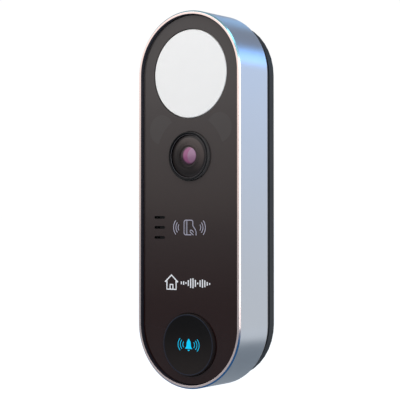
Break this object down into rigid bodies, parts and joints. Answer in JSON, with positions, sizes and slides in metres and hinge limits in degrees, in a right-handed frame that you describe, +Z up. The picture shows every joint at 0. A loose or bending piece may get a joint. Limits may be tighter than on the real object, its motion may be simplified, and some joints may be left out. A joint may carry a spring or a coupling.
{
  "type": "video doorbell",
  "caption": "Wall-mounted video doorbell with a metal frame, glossy front, motion sensor, camera, sound slots, card reader and a sprung lit call button.",
  "frame": {"origin": "middle of the wall bracket's back, on the wall", "axes": "+Z up, the front faces -Y, +X to the right as seen from in front"},
  "size_m": [0.05, 0.0277, 0.15],
  "materials": {
    "frame_metal": "polished die-cast metal, light silver",
    "panel_gloss": "deep tinted mirror gloss",
    "tape": "black foam adhesive tape",
    "sensor_white": "milky white moulded lens",
    "shroud_black": "matt black moulded plastic",
    "can_metal": "tinned steel",
    "bezel_gloss": "black gloss ring",
    "nose_satin": "dark satin cone",
    "lens_glass": "coated lens, purple sheen",
    "circuit_board": "green solder mask",
    "chip": "silicon under a cover glass",
    "ir_window": "infrared-clear smoked plastic",
    "led": "moulded LED package",
    "cloth_mesh": "fine black acoustic mesh",
    "foam": "closed-cell foam",
    "speaker_black": "black frame and paper cone",
    "rubber_black": "black silicone rubber",
    "copper_flex": "copper tracks on film",
    "ferrite": "dark ferrite sheet",
    "button_satin": "satin black dished cap",
    "light_guide": "clear plastic, lit cyan",
    "switch_black": "black moulded plastic",
    "chassis_black": "black moulded plastic",
    "ceramic": "white ceramic",
    "sleeve": "black sleeve",
    "inductor": "moulded ferrite",
    "terminal_black": "black glass-filled plastic",
    "terminal_brass": "nickel-free brass",
    "housing_grey": "fine-textured dark slate plastic",
    "steel": "zinc-plated steel"
  },
  "bodies": {
    "unit": {"front_frame": "frame_metal", "front_panel": "panel_gloss", "panel_tape": "tape", "pir_lens": "sensor_white", "pir_shroud": "shroud_black", "lens_holder": "shroud_black", "lens_barrel": "shroud_black", "pir_sensor": "can_metal", "shield_can": "can_metal", "microphone": "can_metal", "camera_bezel": "bezel_gloss", "camera_nose": "nose_satin", "front_lens": "lens_glass", "rear_lens": "lens_glass", "camera_board": "circuit_board", "ir_board": "circuit_board", "main_board": "circuit_board", "image_sensor": "chip", "ir_window_left": "ir_window", "ir_window_right": "ir_window", "ir_led_left": "led", "ir_led_right": "led", "icon_led_left": "led", "icon_led_right": "led", "slot_mesh": "cloth_mesh", "speaker_gasket": "foam", "speaker": "speaker_black", "mic_boot": "rubber_black", "button_seal": "rubber_black", "housing_seal": "rubber_black", "card_antenna": "copper_flex", "ferrite_sheet": "ferrite", "call_switch": "switch_black", "reset_switch": "switch_black", "chassis": "chassis_black", "wifi_antenna": "ceramic", "power_capacitor": "sleeve", "power_inductor": "inductor", "terminal_block": "terminal_black", "terminal_screw_left": "terminal_brass", "terminal_screw_right": "terminal_brass", "rear_housing": "housing_grey", "wall_bracket": "housing_grey", "security_screw": "steel", "housing_screw_1": "steel", "housing_screw_2": "steel", "housing_screw_3": "steel", "housing_screw_4": "steel", "chassis_screw_1": "steel", "chassis_screw_2": "steel", "board_screw_1": "steel", "board_screw_2": "steel"},
    "button": {"call_button": "button_satin", "button_light_guide": "light_guide"},
    "call_switch_plunger": {"call_plunger": "rubber_black"},
    "reset": {"reset_button": "rubber_black"},
    "reset_switch_plunger": {"reset_plunger": "rubber_black"}
  },
  "joints": [
    {"name": "call_button_press", "type": "slide", "parent": "unit", "child": "button", "axis": [0, 1, 0], "range_m": [0, 0.0008], "stiffness_N_per_m": 2500, "springref_m": -0.0006},
    {"name": "call_plunger_press", "type": "slide", "parent": "unit", "child": "call_switch_plunger", "axis": [0, 1, 0], "range_m": [0, 0.0008]},
    {"name": "reset_press", "type": "slide", "parent": "unit", "child": "reset", "axis": [0, -1, 0], "range_m": [0, 0.0004], "stiffness_N_per_m": 4000, "springref_m": -0.0003},
    {"name": "reset_plunger_press", "type": "slide", "parent": "unit", "child": "reset_switch_plunger", "axis": [0, -1, 0], "range_m": [0, 0.0004]}
  ],
  "couplings": [
    {"joint": "call_plunger_press", "follows": "call_button_press", "ratio": 1},
    {"joint": "reset_plunger_press", "follows": "reset_press", "ratio": 1}
  ]
}
